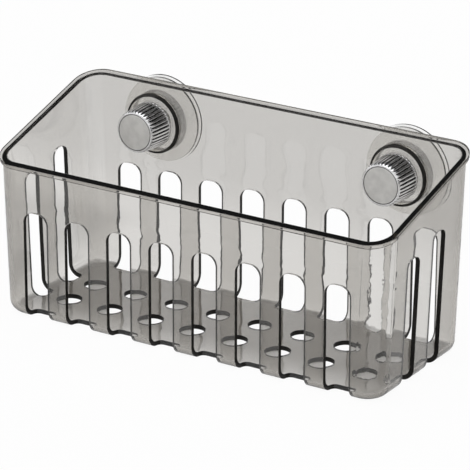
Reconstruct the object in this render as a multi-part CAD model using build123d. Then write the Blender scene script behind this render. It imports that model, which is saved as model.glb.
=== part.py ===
from build123d import *
import os

# Kitchen sink caddy: a smoke-clear moulded tub hung on two screw suction mounts.
# X runs along the tub, -Y is its open front, +Y the wall it hangs on, +Z is up.
# The origin is on the resting plane, under the middle of the tub's floor.

# Tub body, outer sizes at the resting plane
base_length = 281.0
base_depth = 110.4
base_corner = 15.6
# How far each end wall leans out by the time it reaches the back rim
end_lean = 4.7
wall = 3.0
floor_thickness = 3.0
base_round = 9.0

# Sloping rim: heights of its top at the front wall and at the back wall
front_height = 104.8
back_height = 136.6
lip_reach = 2.0
lip_height = 2.9
lip_round = 0.5
lip_under_round = 0.9
rim_round = 0.9

# Drain slots: long walls
slot_count = 8
slot_inset = 28.5
slot_width = 18.0
slot_top_front = 73.9
slot_top_back = 76.0
slot_arch = 7.4
# Each slot runs down through the rounded foot and this far into the floor
notch_reach = 12.0
notch_round = 4.0

# Drain slots: end walls, whose tops follow the rim
end_slot_width = 14.4
end_slot_arch = 5.6
end_slot_front = 16.6
end_slot_back = 14.6
end_slot_front_drop = 30.6
end_slot_back_drop = 31.8

# Round drain holes in the floor, two rows under the long-wall slots
hole_radius = 8.1
hole_row_front = 18.0
hole_row_back = 12.2

# Suction mounts: how far their axes lie inside the ends and under the back rim
mount_inset = 48.1
mount_drop = 28.9

# Press shell: clear dish, boss against the wall and neck through it
boss_radius = 20.5
boss_length = 6.0
shell_skin = 1.8
dish_radius = 28.6
dish_drop = 3.4
neck_radius = 8.0
neck_bore = 3.5
shell_edge = 0.5

# Collar in front of the wall
collar_radius = 20.5
collar_face_radius = 18.6
collar_thickness = 2.0
collar_step = 1.2

# Suction cup
cup_radius = 29.6
cup_reach = 12.0
cup_lip = 0.7
cup_web = 2.2
cup_hub_radius = 9.2
cup_cover = 1.2
cup_hollow = 3.3

# Threaded stud with its flange moulded into the cup
stud_radius = 2.95
stud_flange_radius = 6.8
stud_flange_thickness = 1.8
stud_front = 15.4
# How far one full turn of the knob draws the stud and the cup's middle forward
stud_travel = 2.5
stud_chamfer = 0.6

# Knob: fluted shell with a hub for the nut and a recessed face disc
knob_base_radius = 15.5
knob_face_radius = 14.2
knob_length = 20.0
knob_skin = 1.8
knob_bevel = 1.2
knob_foot = 1.4
flute_count = 36
flute_width = 1.25
flute_depth = 0.75
hub_radius = 7.4
disc_radius = 12.4
disc_thickness = 0.9

# Hexagonal nut in the hub
nut_flats = 10.0
nut_length = 6.0
nut_bore = 3.0

# Fits
fit_gap = 0.3
slide_gap = 0.2
seat_gap = 0.05
overrun = 3.0

# Places that follow from the sizes above
half_depth = base_depth / 2
half_length = base_length / 2
end_reach = half_length + end_lean
slot_pitch = (base_length - 2 * slot_inset) / (slot_count - 1)
slot_places = [slot_inset - half_length + slot_pitch * i for i in range(slot_count)]
mount_reach = half_length - mount_inset
mount_height = back_height - mount_drop
rim_rise_share = (back_height - front_height) / base_depth


def rim_height(y):
    return front_height + (y + half_depth) * rim_rise_share


def plan(grow, at):
    # Rounded plan of the tub at one height, grown outward or inward
    length = base_length + 2 * end_lean * at / back_height + 2 * grow
    depth = base_depth + 2 * grow
    return Pos(0, 0, at) * RectangleRounded(length, depth, base_corner + grow)


def leaning_block(grow, low):
    # Solid between two plans, from one height up past the back rim
    high = back_height + overrun
    return loft([plan(grow, low), plan(grow, high)], ruled=True)


def rim_slab(below, above):
    # Slab parallel to the rim plane, measured straight down and up from it
    front = -half_depth - overrun * 4
    back = half_depth + overrun * 4
    outline = Polyline(
        (0, front, rim_height(front) - below),
        (0, back, rim_height(back) - below),
        (0, back, rim_height(back) + above),
        (0, front, rim_height(front) + above),
        close=True,
    )
    face = make_face(outline)
    return extrude(face, base_length, dir=(1, 0, 0), both=True)


def slot_cutter(width, top, arch, reach):
    # Arched slot seen from outside, driven inward along +Y and rounded at its inner end
    height = top + overrun
    outline = Pos(0, top - height / 2) * Rectangle(width, height)
    crown = outline.vertices().group_by(Axis.Y)[-1]
    outline = fillet(crown, arch)
    cutter = extrude(Plane.XZ * outline, -(reach + overrun))
    inner = cutter.edges().filter_by(Axis.Z).group_by(Axis.Y)[-1]
    cutter = fillet(inner, notch_round)
    return Pos(0, -overrun, 0) * cutter


# Tub: drafted block cut off along the sloping rim and given its flange lip
block = leaning_block(0, 0)
block = fillet(block.edges().group_by(Axis.Z)[0], base_round)
lip = leaning_block(lip_reach, front_height / 2) & rim_slab(lip_height, 0)


def on_rim(edge, drop):
    # True for an edge that lies this far straight below the rim plane
    spots = [edge @ 0, edge @ 0.5, edge @ 1]
    return all(abs(spot.Z - rim_height(spot.Y) + drop) < seat_gap for spot in spots)


under_edges = lip.edges().filter_by(lambda edge: on_rim(edge, lip_height))
lip = fillet(under_edges, lip_under_round)
body = block - rim_slab(0, back_height) + lip
outer_edges = body.edges().filter_by(lambda edge: on_rim(edge, 0))
body = fillet(outer_edges, lip_round)

# Hollow of the tub, with the rim's inner edge rounded
hollow = leaning_block(-wall, floor_thickness)
hollow = fillet(hollow.edges().group_by(Axis.Z)[0], base_round - wall)
tub = body - hollow
inner_edges = new_edges(body, hollow, combined=tub).filter_by(lambda edge: on_rim(edge, 0))
tub = fillet(inner_edges, rim_round)

# Drain slots in the long walls
front_slot = slot_cutter(slot_width, slot_top_front, slot_arch, notch_reach)
back_slot = slot_cutter(slot_width, slot_top_back, slot_arch, notch_reach)
cutters = []
for x in slot_places:
    cutters.append(Pos(x, -half_depth, 0) * front_slot)
    cutters.append(Pos(x, half_depth, 0) * Rot(0, 0, 180) * back_slot)

# Drain slots in the end walls
end_slots = ((-end_slot_front, end_slot_front_drop), (end_slot_back, end_slot_back_drop))
for y, drop in end_slots:
    top = rim_height(y) - drop
    end_slot = slot_cutter(end_slot_width, top, end_slot_arch, notch_reach + end_lean)
    cutters.append(Pos(-end_reach, y, 0) * Rot(0, 0, -90) * end_slot)
    cutters.append(Pos(end_reach, y, 0) * Rot(0, 0, 90) * end_slot)

# Floor drain holes and the two wall holes for the mounts' necks
drain = Cylinder(hole_radius, floor_thickness + 2 * overrun)
for x in slot_places:
    for y in (-hole_row_front, hole_row_back):
        cutters.append(Pos(x, y, floor_thickness / 2) * drain)
neck_hole = Rot(90, 0, 0) * Cylinder(neck_radius + fit_gap, 2 * wall + 2 * overrun)
for side in (-1, 1):
    cutters.append(Pos(side * mount_reach, half_depth, mount_height) * neck_hole)
tub = tub - cutters

# Suction mount, modelled with its axis on Z and the wall's outer face at zero:
# the room side is negative and the tiled wall it sticks to is positive
collar_face = -wall - collar_thickness
knob_back = collar_face - fit_gap
knob_face = knob_back - knob_length
dish_front = boss_length
cup_crown = cup_reach - cup_hollow - cup_web
cup_hub_front = shell_skin + stud_travel + slide_gap
stud_flange_at = cup_hub_front + cup_cover


def turned(*points):
    # Ring turned about Z from a closed outline of (radius, height) points
    outline = Polyline(*[(r, 0, z) for r, z in points], close=True)
    return revolve(make_face(outline), Axis.Z)


# Press shell: neck, boss and dish in one clear moulding, open towards the cup
neck_front = collar_face + slide_gap
dish_edge = dish_front + dish_drop
shell = turned(
    (neck_bore, neck_front),
    (neck_radius, neck_front),
    (neck_radius, 0),
    (boss_radius, 0),
    (boss_radius, dish_front),
    (dish_radius - shell_edge, dish_edge - shell_skin),
    (dish_radius, dish_edge - shell_skin + shell_edge),
    (dish_radius, dish_edge - shell_edge),
    (dish_radius - shell_edge, dish_edge),
    (boss_radius - shell_skin, dish_front + shell_skin),
    (boss_radius - shell_skin, shell_skin),
    (neck_bore, shell_skin),
)

# Collar: clear washer with a stepped edge, round the neck
collar = turned(
    (neck_radius + slide_gap, collar_face),
    (collar_face_radius, collar_face),
    (collar_radius, collar_face + collar_step),
    (collar_radius, -wall),
    (neck_radius + slide_gap, -wall),
)
collar_front = collar.edges().group_by(Axis.Z)[0].sort_by(SortBy.LENGTH)[-1]
collar = fillet(collar_front, collar_step / 3)

# Suction cup: thin lip, dished web and a hub that grips the stud's flange
flange_back = stud_flange_at + stud_flange_thickness
cup = turned(
    (stud_radius + slide_gap, cup_hub_front),
    (cup_hub_radius, cup_hub_front),
    (cup_hub_radius, cup_crown),
    (boss_radius - shell_skin, cup_crown + shell_skin),
    (dish_radius, dish_edge + fit_gap),
    (cup_radius, cup_reach - cup_lip),
    (cup_radius, cup_reach),
    (dish_radius, cup_reach),
    (cup_hub_radius, cup_reach - cup_hollow),
    (0, cup_reach - cup_hollow),
    (0, flange_back + slide_gap),
    (stud_flange_radius + slide_gap, flange_back + slide_gap),
    (stud_flange_radius + slide_gap, stud_flange_at - slide_gap),
    (stud_radius + slide_gap, stud_flange_at - slide_gap),
)

# Stud: shank and flange
stud = turned(
    (0, -stud_front),
    (stud_radius - stud_chamfer, -stud_front),
    (stud_radius, -stud_front + stud_chamfer),
    (stud_radius, stud_flange_at),
    (stud_flange_radius, stud_flange_at),
    (stud_flange_radius, flange_back),
    (0, flange_back),
)

# Knob shell, hollow behind its face, with a hub for the nut and a recess for the disc
hub_back = knob_back - knob_foot / 2
room_front = knob_face + disc_thickness + knob_skin
knob = turned(
    (disc_radius, knob_face),
    (knob_face_radius - knob_bevel, knob_face),
    (knob_face_radius, knob_face + knob_bevel),
    (knob_base_radius, knob_back - knob_foot),
    (knob_base_radius, knob_back),
    (knob_base_radius - knob_skin - flute_depth, knob_back),
    (knob_face_radius - knob_skin - flute_depth, room_front),
    (hub_radius, room_front),
    (hub_radius, hub_back),
    (0, hub_back),
    (0, knob_face + disc_thickness),
    (disc_radius, knob_face + disc_thickness),
)

# Flutes: one tapered groove along the cone, repeated round the knob
flute_low = knob_face + knob_bevel / 2
flute_high = knob_back - knob_foot
flute_run = flute_high - flute_low
cone_share = (knob_base_radius - knob_face_radius) / flute_run
groove = Polyline(
    (-flute_width / 2, 0, 0),
    (flute_width / 2, 0, 0),
    (flute_width / 4, -flute_depth, 0),
    (-flute_width / 4, -flute_depth, 0),
    close=True,
)
mouth = Polyline(
    (-flute_width / 2, 0, 0),
    (flute_width / 2, 0, 0),
    (flute_width / 2, flute_depth, 0),
    (-flute_width / 2, flute_depth, 0),
    close=True,
)
section = make_face(groove) + make_face(mouth)
low_section = Pos(0, knob_face_radius, flute_low) * section
high_section = Pos(0, knob_base_radius, flute_high) * section
flute = loft([low_section, high_section], ruled=True)
flutes = [Rot(0, 0, 360 * i / flute_count) * flute for i in range(flute_count)]
knob = knob - flutes

# Pocket for the nut and a clear way for the stud through the hub
nut_front = hub_back - nut_length
pocket = extrude(
    RegularPolygon(nut_flats / 2 + seat_gap, 6, major_radius=False), nut_length + seat_gap
)
from_top = (Align.CENTER, Align.CENTER, Align.MAX)
stud_way = Cylinder(stud_radius + fit_gap, hub_back - room_front, align=from_top)
knob = knob - Pos(0, 0, nut_front - seat_gap) * pocket
knob = knob - Pos(0, 0, hub_back) * stud_way

# Nut and face disc
nut = extrude(RegularPolygon(nut_flats / 2, 6, major_radius=False), nut_length)
nut = Pos(0, 0, nut_front) * (nut - Cylinder(nut_bore, 3 * nut_length))
from_base = (Align.CENTER, Align.CENTER, Align.MIN)
disc = Cylinder(disc_radius - seat_gap, disc_thickness, align=from_base)
disc = Pos(0, 0, knob_face) * disc

# The two mounts are the same set of pieces, placed left and right of the middle
mount_pieces = {
    "press_shell": shell,
    "collar": collar,
    "suction_cup": cup,
    "stud": stud,
    "knob": knob,
    "nut": nut,
    "face_disc": disc,
}
nodes = {"basket": tub}
for name, side in (("left", -1), ("right", 1)):
    seat = Pos(side * mount_reach, half_depth, mount_height) * Rot(-90, 0, 0)
    for piece, solid in mount_pieces.items():
        nodes[name + "_" + piece] = seat * solid

os.makedirs("parts", exist_ok=True)
for name, solid in nodes.items():
    export_step(solid, os.path.join("parts", name + ".step"))
    print(name, "solids", len(solid.solids()), "volume", round(solid.volume, 1))
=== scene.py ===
import math
import bmesh
import bpy
from mathutils import Matrix, Vector


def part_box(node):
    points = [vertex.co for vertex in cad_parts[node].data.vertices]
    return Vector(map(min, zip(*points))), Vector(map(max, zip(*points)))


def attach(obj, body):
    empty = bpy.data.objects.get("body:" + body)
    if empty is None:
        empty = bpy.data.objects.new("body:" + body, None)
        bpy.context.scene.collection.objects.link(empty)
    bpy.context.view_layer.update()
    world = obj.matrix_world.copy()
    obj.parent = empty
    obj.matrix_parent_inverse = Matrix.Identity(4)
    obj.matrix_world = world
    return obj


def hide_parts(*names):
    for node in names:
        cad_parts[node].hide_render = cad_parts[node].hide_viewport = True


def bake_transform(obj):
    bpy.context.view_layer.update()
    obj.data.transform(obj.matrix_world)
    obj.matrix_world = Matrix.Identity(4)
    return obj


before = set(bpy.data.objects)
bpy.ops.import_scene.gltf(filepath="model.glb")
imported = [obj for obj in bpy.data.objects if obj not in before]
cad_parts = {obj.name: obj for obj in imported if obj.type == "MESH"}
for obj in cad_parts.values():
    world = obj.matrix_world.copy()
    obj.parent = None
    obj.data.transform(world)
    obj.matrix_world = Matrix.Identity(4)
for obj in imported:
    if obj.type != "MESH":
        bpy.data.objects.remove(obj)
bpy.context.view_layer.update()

# Viewpoint: the caddy is seen from above its front right corner with a long lens,
# so its long sides stay almost parallel. Metres, aimed at a point inside the tub.
view_from = Vector((1.00454, -1.58584, 0.78900))
view_onto = Vector((0.02071, -0.02609, 0.07796))
focal_pixels, picture_pixels = 3169.3, 470
lens = bpy.data.cameras.new("view")
lens.sensor_width = 36.0
lens.lens = lens.sensor_width * focal_pixels / picture_pixels
lens.clip_end = 20.0
viewpoint = bpy.data.objects.new("view", lens)
ahead = (view_onto - view_from).normalized()
rightward = ahead.cross(Vector((0, 0, 1))).normalized()
upward = rightward.cross(ahead)
roll = math.radians(0.181)
across = rightward * math.cos(roll) + upward * math.sin(roll)
upright = upward * math.cos(roll) - rightward * math.sin(roll)
turn = Matrix((across, upright, -ahead)).transposed()
viewpoint.matrix_world = Matrix.Translation(view_from) @ turn.to_4x4()
bpy.context.collection.objects.link(viewpoint)
bpy.context.scene.camera = viewpoint
bpy.context.scene.view_settings.view_transform = "Standard"


# Tub: one injection moulding in smoke-tinted clear styrene, polished all over.
# The tint hardly shows across one wall but turns black along a wall, at its cut edges; there the
# black is also painted shade, a dark surface mixed in.
class Reading:
    """A number that changes over a surface; sums on it add Math nodes."""

    def __init__(self, finish, socket):
        self.finish = finish
        self.socket = socket

    def _math(self, operation, first, second):
        return self.finish.add("ShaderNodeMath", {"operation": operation}, {0: first, 1: second})

    def __add__(self, other):
        return self._math("ADD", self, other)

    __radd__ = __add__

    def __sub__(self, other):
        return self._math("SUBTRACT", self, other)

    def __rsub__(self, other):
        return self._math("SUBTRACT", other, self)

    def __mul__(self, other):
        return self._math("MULTIPLY", self, other)

    def __abs__(self):
        return self._math("ABSOLUTE", self, 0.0)

    def most(self, other):
        return self._math("MAXIMUM", self, other)

    def least(self, other):
        return self._math("MINIMUM", self, other)

    def over(self, limit):
        return self._math("GREATER_THAN", self, limit)

    def under(self, limit):
        return self._math("LESS_THAN", self, limit)


class Finish:
    """A procedural surface finish, built node by node."""

    def __init__(self, name, kind="material"):
        if kind == "world":
            self.made = bpy.data.worlds.new(name)
        else:
            self.made = bpy.data.materials.new(name)
        self.made.use_nodes = True
        self.tree = self.made.node_tree
        self.tree.nodes.clear()

    def add(self, kind, settings=None, sockets=None, out=0):
        node = self.tree.nodes.new(kind)
        for key, value in (settings or {}).items():
            if key == "stops":
                ramp = node.color_ramp
                while len(ramp.elements) < len(value):
                    ramp.elements.new(0.5)
                for element, (place, shade) in zip(ramp.elements, value):
                    element.position = place
                    element.color = (*shade, 1)
            else:
                setattr(node, key, value)
        for key, value in (sockets or {}).items():
            if isinstance(value, Reading):
                self.tree.links.new(value.socket, node.inputs[key])
            else:
                node.inputs[key].default_value = value
        return Reading(self, node.outputs[out])

    def parts(self, kind, out):
        split = self.tree.nodes.new("ShaderNodeSeparateXYZ")
        self.tree.links.new(self.add(kind, out=out).socket, split.inputs[0])
        return [Reading(self, socket) for socket in split.outputs]

    def noise(self, scale, detail=2.0, rough=0.5, stretch=(1, 1, 1)):
        place = self.add("ShaderNodeTexCoord", out="Object")
        place = self.add("ShaderNodeMapping", None, {"Vector": place, "Scale": stretch})
        values = {"Vector": place, "Scale": scale, "Detail": detail, "Roughness": rough}
        return self.add("ShaderNodeTexNoise", None, values, out="Fac")

    def bump(self, height, depth):
        return self.add("ShaderNodeBump", None, {"Height": height, "Distance": depth})

    def ramp(self, value, low, high, start=0.0, end=1.0):
        # Goes smoothly from start to end while the value goes from low to high
        limits = {"Value": value, "From Min": low, "From Max": high}
        limits.update({"To Min": start, "To Max": end})
        return self.add("ShaderNodeMapRange", {"interpolation_type": "SMOOTHSTEP"}, limits)

    def surface(self, shader, volume=None):
        ends = {"Surface": shader}
        if volume:
            ends["Volume"] = volume
        node = self.tree.nodes.new("ShaderNodeOutputMaterial")
        for key, value in ends.items():
            self.tree.links.new(value.socket, node.inputs[key])
        return self.made


def clear_moulding(name, bend, tint, density, gloss, ripple, shade, ease=0, cut=None, painted_black=0.85):
    # Clear plastic: it bends light, darkens with depth and lets soft light through
    finish = Finish(name)
    drift = finish.noise(38.0, 1.0)
    fine = finish.noise(420.0, 2.0)
    fine_height, closing_height, edge_darkness = 0.006, 0.35, 0.88
    height = drift + fine * fine_height
    waves = {"Distance": ripple}
    flat = 1.0
    if ease:
        # Moulded edges are eased by this radius and look darker along their rounding, which is
        # painted shade in the Base Color
        eased = finish.add("ShaderNodeBevel", {"samples": 6}, {"Radius": ease})
        face = finish.add("ShaderNodeNewGeometry", out="Normal")
        both = {0: eased, 1: face}
        flat = finish.add("ShaderNodeVectorMath", {"operation": "DOT_PRODUCT"}, both, out="Value")
        flat = finish.ramp(flat, 0.78, 0.99)
        waves["Normal"] = eased
        # The plastic flowed unevenly where it closed over the slots' arched tops
        arch_level = 0.0775
        level = finish.parts("ShaderNodeTexCoord", "Object")[2]
        closing = 1 - finish.ramp(abs(level - arch_level), 0.001, 0.006)
        height = height + closing * finish.noise(110.0, 0.0) * closing_height
    values = {
        "Base Color": (1, 1, 1, 1),
        "Roughness": gloss + fine * gloss,
        "IOR": bend,
        "Transmission Weight": 1.0,
        "Specular IOR Level": 0.2,
        "Normal": finish.add("ShaderNodeBump", None, {"Height": height, **waves}),
    }
    sawn = cut(finish) if cut else 0
    if ease:
        # Painted shade: the Base Color darkens along the eased edges and on the cut faces
        shades = {"stops": [(0, (0, 0, 0)), (1, (1, 1, 1))]}
        clear = 1 - (1 - sawn) * (1 - flat) * edge_darkness
        values["Base Color"] = finish.add("ShaderNodeValToRGB", shades, {0: clear})
    shown = finish.add("ShaderNodeBsdfPrincipled", None, values, out="BSDF")
    if cut:
        # Light runs along inside a wall, so the faces that cut through it look black; this black
        # is painted shade, a dark surface mixed over the clear one
        values = {"Base Color": (0.01, 0.009, 0.008, 1), "Specular IOR Level": 0.15}
        depth = finish.add("ShaderNodeBsdfPrincipled", None, values, out="BSDF")
        both = {0: sawn * flat * painted_black, 1: shown, 2: depth}
        shown = finish.add("ShaderNodeMixShader", None, both)
    passing = finish.add("ShaderNodeBsdfTransparent", None, {"Color": (*shade, 1)})
    lit_through = finish.add("ShaderNodeLightPath", out="Is Shadow Ray")
    both = finish.add("ShaderNodeMixShader", None, {0: lit_through, 1: shown, 2: passing})
    values = {"Color": (*tint, 1), "Density": density}
    body = finish.add("ShaderNodeVolumeAbsorption", None, values)
    return finish.surface(both, body)


def cut_faces(finish):
    # One on the faces that cut through a wall or the floor: slot sides, tops and holes, which get
    # painted black shade
    slots_reach, holes_reach = 0.1245, 0.040
    end_lean, corner_x, corner_y, corner_radius = 0.0344, 0.1249, 0.0396, 0.0131
    x, y, z = finish.parts("ShaderNodeTexCoord", "Object")
    facing_x, facing_y, facing_z = finish.parts("ShaderNodeNewGeometry", "True Normal")
    inside = abs(x).under(slots_reach)
    slot_side = abs(facing_x).over(0.7) * inside
    end_side = abs(facing_y).over(0.7) * abs(y).under(holes_reach)
    top = facing_z.under(-0.25) * z.over(0.040)
    hole = abs(facing_z).under(0.5) * abs(y).under(holes_reach) * inside * z.under(0.02)
    # The rim's rounded inner edge looks down the wall's whole height, so it gets the painted
    # black shade too
    across = (abs(x) - z * end_lean - corner_x).most(0)
    along = (abs(y) - corner_y).most(0)
    inner_edge = (across * across + along * along).under(corner_radius ** 2)
    rim = facing_z.over(0.2) * z.over(0.100) * inner_edge
    return (slot_side + end_side + top + hole + rim).least(1)


# The tub's cut faces are painted black as shade, and its eased edges painted darker
smoke_styrene = clear_moulding(
    "smoke_styrene", 1.57, (0.505, 0.478, 0.435), 236.0, 0.006, 0.0004, (0.70, 0.65, 0.60),
    ease=0.0004, cut=cut_faces, painted_black=0.95,
)


def dress(node, finish):
    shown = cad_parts[node]
    shown.data.materials.clear()
    shown.data.materials.append(finish)


dress("basket", smoke_styrene)


# Press shells and collars: two clear styrene mouldings on each mount. The shell's neck
# passes through the tub's back wall and the collar slips over it from the room side.
def rounded(corners, steps=5):
    # Outline of (radius, depth) points with each corner eased by its third number
    outline = []
    count = len(corners)
    for i, (r, d, ease) in enumerate(corners):
        here = Vector((r, d))
        if ease <= 0:
            outline.append(here)
            continue
        before = Vector(corners[i - 1][:2]) - here
        after = Vector(corners[(i + 1) % count][:2]) - here
        half = before.angle(after) / 2
        reach = min(ease / math.tan(half), before.length * 0.49, after.length * 0.49)
        start = here + before.normalized() * reach
        end = here + after.normalized() * reach
        for step in range(steps + 1):
            share = step / steps
            outline.append(start.lerp(here, share).lerp(here.lerp(end, share), share))
    return outline


def turned(name, outline, centre, segments=96, crease=38):
    # Closed mesh turned about the +Y line through the centre, in millimetres
    shape = bmesh.new()
    rings = []
    for r, d in outline:
        ring = []
        for i in range(segments):
            angle = math.tau * i / segments
            spot = (r * math.cos(angle), d, r * math.sin(angle))
            ring.append(shape.verts.new(Vector(spot) / 1000 + centre))
        rings.append(ring)
    for low, high in zip(rings, rings[1:] + rings[:1]):
        for i in range(segments):
            j = (i + 1) % segments
            shape.faces.new((low[i], low[j], high[j], high[i]))
    bmesh.ops.remove_doubles(shape, verts=shape.verts, dist=1e-7)
    bmesh.ops.dissolve_degenerate(shape, edges=shape.edges, dist=1e-8)
    bmesh.ops.recalc_face_normals(shape, faces=shape.faces)
    mesh = bpy.data.meshes.new(name)
    shape.to_mesh(mesh)
    shape.free()
    mesh.shade_smooth()
    mesh.set_sharp_from_angle(angle=math.radians(crease))
    piece = bpy.data.objects.new(name, mesh)
    bpy.context.collection.objects.link(piece)
    return piece


def mount_centre(side):
    # Where a mount's axis meets the outer face of the tub's back wall
    cup_reach = 0.012
    low, high = [Vector(corner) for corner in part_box(side + "_suction_cup")]
    middle = (low + high) / 2
    return Vector((middle.x, high.y - cup_reach, middle.z))


def turned_edges(finish):
    # One on the faces that run round a turned piece, its rim, bore and bevels, which are painted
    # darker as shade
    facing = finish.parts("ShaderNodeNewGeometry", "True Normal")[1]
    return abs(facing).under(0.93)


# The shells' rims, bores and bevels are painted a little darker as shade, the collars' nearly
# black
clear_styrene = clear_moulding(
    "clear_styrene", 1.58, (0.72, 0.68, 0.60), 90.0, 0.008, 0.0002, (0.9, 0.9, 0.9),
    cut=turned_edges, painted_black=0.28,
)
clear_collar = clear_moulding(
    "clear_collar", 1.58, (0.72, 0.71, 0.68), 60.0, 0.008, 0.0002, (0.9, 0.9, 0.9),
    cut=turned_edges, painted_black=0.96,
)
shell_outline = rounded([
    (3.5, -4.8, 0.3), (7.95, -4.8, 0.5), (7.95, 0.08, 0.3), (20.5, 0.08, 0.6),
    (20.5, 6.0, 1.0), (28.6, 7.6, 0.7), (28.6, 9.4, 0.5), (18.7, 7.8, 1.0),
    (18.7, 1.8, 0.8), (3.5, 1.8, 0.3),
])
collar_outline = rounded([
    (8.25, -5.0, 0.3), (18.6, -5.0, 0.4), (20.5, -3.8, 0.5), (20.5, -3.08, 0.2),
    (8.25, -3.08, 0.2),
])
for side in ("left", "right"):
    for name, outline, finish in (("_press_shell", shell_outline, clear_styrene),
                                  ("_collar", collar_outline, clear_collar)):
        piece = turned(side + name + "_moulding", outline, mount_centre(side))
        piece.data.materials.append(finish)
        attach(piece, "tub")
        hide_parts(side + name)

# Suction cups: soft clear vinyl, turned shape with a feathered lip and a thicker hub
# moulded round the stud's flange. The lip holds to the wall; here the cup is one fixed piece and
# does not follow the stud.
soft_vinyl = clear_moulding(
    "soft_vinyl", 1.52, (0.70, 0.69, 0.66), 70.0, 0.03, 0.0003, (0.95, 0.95, 0.95)
)
cup_outline = rounded([
    (0, 6.98, 0), (3.05, 6.98, 0.3), (3.05, 4.55, 0.3), (9.15, 4.55, 0.8), (9.15, 6.55, 0.8),
    (18.7, 8.35, 2.0), (28.5, 9.75, 1.0), (29.55, 11.45, 0.3), (29.55, 11.95, 0.2),
    (28.4, 11.95, 1.0), (9.2, 8.75, 4.0), (0, 8.75, 0),
])
for side in ("left", "right"):
    centre = mount_centre(side)
    cup = turned(side + "_cup", cup_outline, centre)
    cup.data.materials.append(soft_vinyl)
    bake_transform(cup)
    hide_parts(side + "_suction_cup")


# Studs: zinc-plated steel, with a flange moulded into the cup and a rolled thread
# that the knob's nut climbs.
def plated_metal(name, colour, rough, grain_scale, grain_depth, stretch=(1, 1, 1), painted_shade_attribute=None):
    finish = Finish(name)
    grain = finish.noise(grain_scale, 3.0, 0.55, stretch)
    stain = finish.noise(grain_scale / 9, 2.0)
    low = tuple(c * 0.88 for c in colour)
    tone = finish.add("ShaderNodeValToRGB", {"stops": [(0.35, low), (0.65, colour)]}, {0: stain})
    if painted_shade_attribute:
        # Painted shade: the colour goes to near black where this attribute of the mesh is high
        deep = finish.add("ShaderNodeAttribute", {"attribute_name": painted_shade_attribute}, out="Fac")
        limits = {"Value": deep, "From Min": 0.10, "From Max": 0.65, "To Max": 0.97}
        deep = finish.add("ShaderNodeMapRange", None, limits)
        blend = {"data_type": "RGBA"}
        both = {0: deep, 6: tone, 7: (0.012, 0.012, 0.013, 1)}
        tone = finish.add("ShaderNodeMix", blend, both, out=2)
    values = {
        "Base Color": tone,
        "Metallic": 1.0,
        "Roughness": rough * 0.8 + grain * rough * 0.4,
        "Normal": finish.bump(grain, grain_depth),
    }
    metal = finish.add("ShaderNodeBsdfPrincipled", None, values, out="BSDF")
    return finish.surface(metal)


zinc_steel = plated_metal("zinc_steel", (0.62, 0.62, 0.60), 0.3, 900.0, 0.00002)


def thread(name, centre, radius, depth, pitch, start, end, segments=48):
    # Helical ridge on a shank: a skin whose radius follows the thread's V form
    shape = bmesh.new()
    rows = int((end - start) / pitch * 10)
    rings = []
    for row in range(rows + 1):
        along = start + (end - start) * row / rows
        ring = []
        for i in range(segments):
            angle = math.tau * i / segments
            turns = (along / pitch - i / segments) % 1.0
            height = 1 - abs(2 * turns - 1)
            fade = min(1, (row + 0.5) / 6, (rows - row + 0.5) / 6)
            r = radius - depth * (1 - height * fade)
            spot = (r * math.cos(angle), along, r * math.sin(angle))
            ring.append(shape.verts.new(Vector(spot) / 1000 + centre))
        rings.append(ring)
    for low, high in zip(rings, rings[1:]):
        for i in range(segments):
            j = (i + 1) % segments
            shape.faces.new((low[i], low[j], high[j], high[i]))
    shape.faces.new(rings[0][::-1])
    shape.faces.new(rings[-1])
    bmesh.ops.recalc_face_normals(shape, faces=shape.faces)
    mesh = bpy.data.meshes.new(name)
    shape.to_mesh(mesh)
    shape.free()
    mesh.shade_smooth()
    mesh.set_sharp_from_angle(angle=math.radians(35))
    piece = bpy.data.objects.new(name, mesh)
    bpy.context.collection.objects.link(piece)
    return piece


flange_outline = rounded([
    (0, 5.5, 0), (2.6, 5.5, 0.2), (2.6, 5.7, 0), (6.8, 5.7, 0.4), (6.8, 7.5, 0.4), (0, 7.5, 0),
], 3)
for side in ("left", "right"):
    centre = mount_centre(side)
    shank = thread(side + "_stud_shank", centre, 2.95, 0.45, 1.25, -15.4, 5.6)
    flange = turned(side + "_stud_flange", flange_outline, centre, 48)
    for piece in (shank, flange):
        piece.data.materials.append(zinc_steel)
        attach(piece, side + "_stud_set")
    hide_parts(side + "_stud")

# Nuts: plain brass hexagons, turned from bar and pressed into the knobs' hubs. They are
# out of sight there and carry the knobs along the studs' threads.
turned_brass = plated_metal(
    "turned_brass", (0.78, 0.60, 0.30), 0.32, 700.0, 0.00002, (1, 12, 1)
)
for side in ("left", "right"):
    dress(side + "_nut", turned_brass)

# Knobs: moulded shells with 36 flutes, bright chrome plated. A satin metal disc is set
# into each face, inside a thin black ring.
# Painted shade darkens the chrome in the flutes' grooves
bright_chrome = plated_metal(
    "bright_chrome", (0.80, 0.80, 0.81), 0.05, 260.0, 0.00001, painted_shade_attribute="groove"
)
satin_disc = plated_metal("satin_disc", (0.74, 0.735, 0.72), 0.42, 1500.0, 0.00001)
flute_count, flute_depth = 36, 0.75
# Outline of the moulding: radius, depth, and how much of a flute is cut into it there
knob_outline = [
    (12.42, -24.4, 0), (12.42, -25.25, 0), (12.6, -25.32, 0), (13.0, -25.3, 0), (13.35, -25.1, 0),
    (13.75, -24.6, 0.15), (14.05, -24.25, 0.7), (14.2, -24.0, 1), (14.5, -19.5, 1),
    (14.95, -12.5, 1), (15.3, -7.4, 1), (15.42, -6.95, 0.5), (15.5, -6.6, 0), (15.5, -5.45, 0),
    (15.35, -5.3, 0), (13.1, -5.3, 0), (12.95, -5.5, 0), (11.8, -22.3, 0), (11.5, -22.6, 0),
    (7.7, -22.6, 0), (7.4, -22.3, 0), (7.4, -6.2, 0), (7.2, -6.0, 0), (5.85, -6.0, 0),
    (5.85, -12.05, 0), (3.25, -12.05, 0), (3.25, -22.6, 0), (0, -22.6, 0), (0, -24.4, 0),
]


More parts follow.
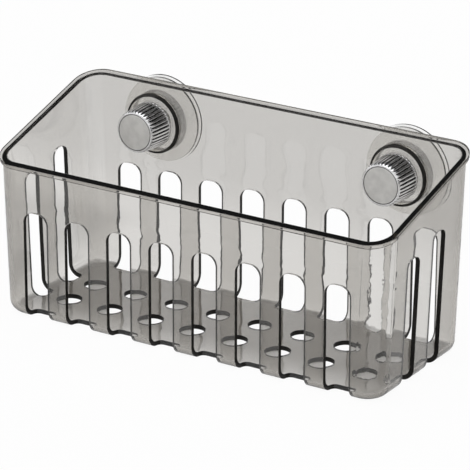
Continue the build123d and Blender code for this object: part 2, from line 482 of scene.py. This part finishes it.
def flute_wedge(name):
    # One flute's share of the shell: half a land, the rounded groove, half a land
    period = math.tau / flute_count
    across = [(-0.5, 0), (-0.28, 0), (-0.21, 0.12), (-0.12, 0.72), (0, 1)]
    across += [(-place, cut) for place, cut in reversed(across[:-1])]
    mesh = bpy.data.meshes.new(name)
    spots, faces, depths = [], [], []
    for place, cut in across:
        for r, d, share in knob_outline:
            angle = place * period
            reach = r - flute_depth * cut * share
            spots.append((reach * math.cos(angle), d, reach * math.sin(angle)))
            depths.append(cut * share)
    rows = len(knob_outline)
    for i in range(len(across) - 1):
        for j in range(rows - 1):
            first = i * rows + j
            faces.append((first, first + rows, first + rows + 1, first + 1))
    for i in range(len(across) - 1):
        last = i * rows + rows - 1
        faces.append((last, last + rows, (i + 1) * rows, i * rows))
    mesh.from_pydata([Vector(spot) / 1000 for spot in spots], [], faces)
    mesh.attributes.new("groove", "FLOAT", "POINT").data.foreach_set("value", depths)
    wedge = bpy.data.objects.new(name, mesh)
    bpy.context.collection.objects.link(wedge)
    return wedge


def repeated_round(piece, count, centre, finish):
    # Repeats a piece made about the origin's Y line and sets the ring on its centre
    tree = bpy.data.node_groups.new("repeat_round", "GeometryNodeTree")
    ports = {}
    for name, kind in (("Geometry", "NodeSocketGeometry"), ("Count", "NodeSocketInt"),
                       ("Centre", "NodeSocketVector"), ("Finish", "NodeSocketMaterial")):
        ports[name] = tree.interface.new_socket(name, in_out="INPUT", socket_type=kind).identifier
    tree.interface.new_socket("Geometry", in_out="OUTPUT", socket_type="NodeSocketGeometry")
    nodes, links = tree.nodes, tree.links
    start = nodes.new("NodeGroupInput")
    points = nodes.new("GeometryNodePoints")
    index = nodes.new("GeometryNodeInputIndex")
    step = nodes.new("ShaderNodeMath")
    step.operation = "DIVIDE"
    step.inputs[0].default_value = math.tau
    angle = nodes.new("ShaderNodeMath")
    angle.operation = "MULTIPLY"
    turn_by = nodes.new("ShaderNodeCombineXYZ")
    ring = nodes.new("GeometryNodeInstanceOnPoints")
    real = nodes.new("GeometryNodeRealizeInstances")
    coat = nodes.new("GeometryNodeSetMaterial")
    end = nodes.new("NodeGroupOutput")
    links.new(start.outputs["Count"], points.inputs["Count"])
    links.new(start.outputs["Centre"], points.inputs["Position"])
    links.new(start.outputs["Count"], step.inputs[1])
    links.new(index.outputs[0], angle.inputs[0])
    links.new(step.outputs[0], angle.inputs[1])
    links.new(angle.outputs[0], turn_by.inputs["Y"])
    links.new(points.outputs[0], ring.inputs["Points"])
    links.new(start.outputs["Geometry"], ring.inputs["Instance"])
    links.new(turn_by.outputs[0], ring.inputs["Rotation"])
    links.new(ring.outputs[0], real.inputs[0])
    links.new(real.outputs[0], coat.inputs["Geometry"])
    links.new(start.outputs["Finish"], coat.inputs["Material"])
    links.new(coat.outputs[0], end.inputs[0])
    maker = piece.modifiers.new("repeat", "NODES")
    maker.node_group = tree
    maker[ports["Count"]] = count
    maker[ports["Centre"]] = centre
    maker[ports["Finish"]] = finish
    seen = piece.evaluated_get(bpy.context.evaluated_depsgraph_get())
    made = bpy.data.meshes.new_from_object(seen)
    piece.modifiers.remove(maker)
    shape = bmesh.new()
    shape.from_mesh(made)
    bmesh.ops.remove_doubles(shape, verts=shape.verts, dist=1e-6)
    bmesh.ops.dissolve_degenerate(shape, edges=shape.edges, dist=1e-8)
    bmesh.ops.recalc_face_normals(shape, faces=shape.faces)
    shape.to_mesh(made)
    shape.free()
    made.shade_smooth()
    made.set_sharp_from_angle(angle=math.radians(40))
    piece.data = made
    return piece


disc_outline = rounded([
    (0, -25.3, 0), (11.95, -25.3, 0.3), (11.95, -24.42, 0.1), (0, -24.42, 0),
])
seat_outline = [(11.96, -25.08), (12.41, -25.08), (12.41, -24.45), (11.96, -24.45)]
black_seat_ring = Finish("black_seat_ring")
values = {
    "Base Color": (0.02, 0.02, 0.02, 1),
    "Roughness": 0.5 + black_seat_ring.noise(900.0, 2.0) * 0.3,
    "Normal": black_seat_ring.bump(black_seat_ring.noise(1500.0, 2.0), 0.00003),
}
black_seat_ring = black_seat_ring.surface(
    black_seat_ring.add("ShaderNodeBsdfPrincipled", None, values, out="BSDF")
)
for side in ("left", "right"):
    centre = mount_centre(side)
    knob = repeated_round(
        flute_wedge(side + "_knob_moulding"), flute_count, centre, bright_chrome
    )
    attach(knob, side + "_knob_set")
    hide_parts(side + "_knob")
    disc = turned(side + "_disc", disc_outline, centre, 72)
    seat = turned(side + "_disc_seat", seat_outline, centre, 72)
    for piece, finish in ((disc, satin_disc), (seat, black_seat_ring)):
        piece.data.materials.append(finish)
        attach(piece, side + "_knob_set")
    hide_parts(side + "_face_disc")

# Studio: a white sweep under the caddy, a dark ceiling beyond it and a broad soft
# light overhead. The sweep shows white and keeps the caddy's shadow.
sweep = bpy.data.meshes.new("sweep")
reach, drop = 7.0, -0.0004
corners = ((-1, -1), (1, -1), (1, 1), (-1, 1))
spots = [(reach * x, reach * y, drop) for x, y in corners]
sweep.from_pydata(spots, [], [(0, 1, 2, 3)])
floor = bpy.data.objects.new("sweep", sweep)
bpy.context.collection.objects.link(floor)
paper = Finish("white_paper")
matt = paper.add("ShaderNodeBsdfDiffuse", None, {"Color": (0.93, 0.93, 0.93, 1)})
glow = paper.add("ShaderNodeEmission", None, {"Color": (1, 1, 1, 1), "Strength": 1.0})
seen = paper.add("ShaderNodeLightPath", out="Is Camera Ray")
through = paper.add("ShaderNodeLightPath", out="Is Transmission Ray")
mirrored = paper.add("ShaderNodeLightPath", out="Is Glossy Ray")
# Under the caddy the paper is in its shade, also when it is seen through the plastic
half_length, half_depth = 0.141, 0.055
along, inward = paper.parts("ShaderNodeTexCoord", "Object")[:2]
aside, apart = abs(along), abs(inward)
outside = (aside - half_length).most(apart - half_depth)
open_floor = paper.ramp(outside, 0.0, 0.003)
# Some light slips in under the front wall
open_floor = open_floor.most(paper.ramp(inward, -0.056, -0.012, 0.6, 0.0))
# The light falls off away from the caddy, and is weaker beside its ends than behind it
fading = paper.ramp(apart, 0.14, 0.26, 1.0, 0.35)
beside = paper.ramp(aside, 0.15, 0.19) * paper.ramp(apart, 0.12, 0.16, 0.8, 0.0)
through_share = through * open_floor * (fading * (1 - beside))
camera_share, mirror_share = 0.95, 0.6
lit = seen * camera_share
lit += (1 - seen) * (through_share + (1 - through) * mirrored * mirror_share)
both = paper.add("ShaderNodeMixShader", None, {0: lit, 1: matt, 2: glow})
sweep.materials.append(paper.surface(both))

room = Finish("studio_room", "world")
way = room.add("ShaderNodeTexCoord", out="Generated")
side_on, depth, height = room.parts("ShaderNodeTexCoord", "Generated")


def card(spot, wide, soft):
    # One over a round card hung in this direction, zero elsewhere
    aim = Vector(spot).normalized()
    facing = {0: way, 1: tuple(aim)}
    near = room.add("ShaderNodeVectorMath", {"operation": "DOT_PRODUCT"}, facing, out="Value")
    edge, middle = math.cos(math.radians(wide + soft)), math.cos(math.radians(wide))
    return room.ramp(near, edge, middle)


beyond = room.ramp(depth, -0.35, 0.0)
above = room.ramp(height, 0.48, 0.56)
overhead = room.ramp(height, 0.80, 0.90)
level = 1 - above * (0.25 + beyond * 0.65) + overhead * 1.3
# A dark screen behind on the right and a small dark card give the chrome its blacks
screen = room.ramp(side_on, 0.20, 0.28) * room.ramp(depth, 0.50, 0.58)
screen = screen * room.ramp(height, 0.02, 0.08)
dark_card = card((0.80, -0.52, 0.10), 14, 3)
level = level * (1 - screen * 0.98) * (1 - dark_card * 0.95)
open_sky = room.add("ShaderNodeLightPath", out="Is Camera Ray")
level = level * (1 - open_sky) + open_sky
light = room.add("ShaderNodeBackground", None, {"Color": (1, 1, 1, 1), "Strength": level})
ends = room.tree.nodes.new("ShaderNodeOutputWorld")
room.tree.links.new(light.socket, ends.inputs["Surface"])
bpy.context.scene.world = room.made
